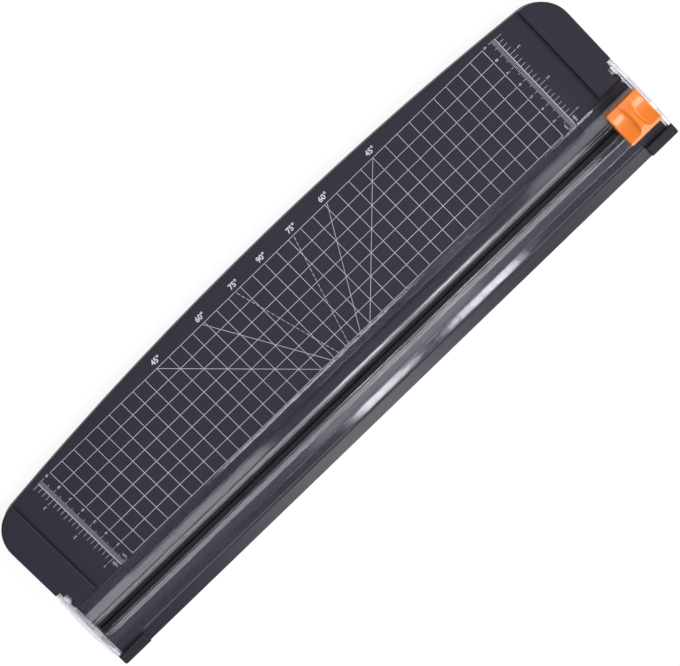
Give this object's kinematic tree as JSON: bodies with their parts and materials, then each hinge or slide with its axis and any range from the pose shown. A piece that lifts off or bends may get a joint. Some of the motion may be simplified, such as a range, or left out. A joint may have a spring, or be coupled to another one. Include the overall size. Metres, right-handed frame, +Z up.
{
  "type": "paper trimmer",
  "caption": "Desk paper trimmer: flat gridded bed between two fences, clear hinged guide rail, and a sprung press-to-cut slider running in the rail's slot.",
  "frame": {"origin": "on the desk, under the middle of the base's length and depth", "axes": "+X along the cut, +Y from the cutting rail towards the curved back edge, +Z up"},
  "size_m": [0.463, 0.1286, 0.0292],
  "materials": {
    "base_plastic": "fine matte moulding",
    "strip_plastic": "plain",
    "foot_rubber": "matte",
    "clear_plastic": "clear, polished",
    "orange_plastic": "glossy",
    "keeper_plastic": "plain",
    "holder_plastic": "plain",
    "blade_steel": "ground",
    "small_steel": "plated"
  },
  "bodies": {
    "base": {"base_shell": "base_plastic", "cutting_strip": "strip_plastic", "foot_front_left": "foot_rubber", "foot_front_middle": "foot_rubber", "foot_front_right": "foot_rubber", "foot_back_left": "foot_rubber", "foot_back_middle": "foot_rubber", "foot_back_right": "foot_rubber"},
    "rail": {"rail_strip_back": "clear_plastic", "rail_strip_front": "clear_plastic", "rail_end_left": "clear_plastic", "rail_end_right": "clear_plastic"},
    "carriage": {"slider_carriage": "orange_plastic", "slider_keeper": "keeper_plastic", "keeper_screws": "small_steel", "return_spring_back": "small_steel", "return_spring_front": "small_steel"},
    "press": {"press_cap": "orange_plastic", "blade_holder": "holder_plastic", "blade": "blade_steel", "blade_pin": "small_steel"}
  },
  "joints": [
    {"name": "rail_hinge", "type": "hinge", "parent": "base", "child": "rail", "pos_m": [0, -0.0106, 0.01], "axis": [-1, 0, 0], "range_deg": [0, 70]},
    {"name": "slider_run", "type": "slide", "parent": "rail", "child": "carriage", "axis": [-1, 0, 0], "range_m": [0, 0.4332]},
    {"name": "cap_press", "type": "slide", "parent": "carriage", "child": "press", "axis": [0, 0, -1], "range_m": [0, 0.0025], "stiffness_N_per_m": 600, "springref_m": -0.002, "deforming": ["return_spring_back", "return_spring_front"]}
  ]
}
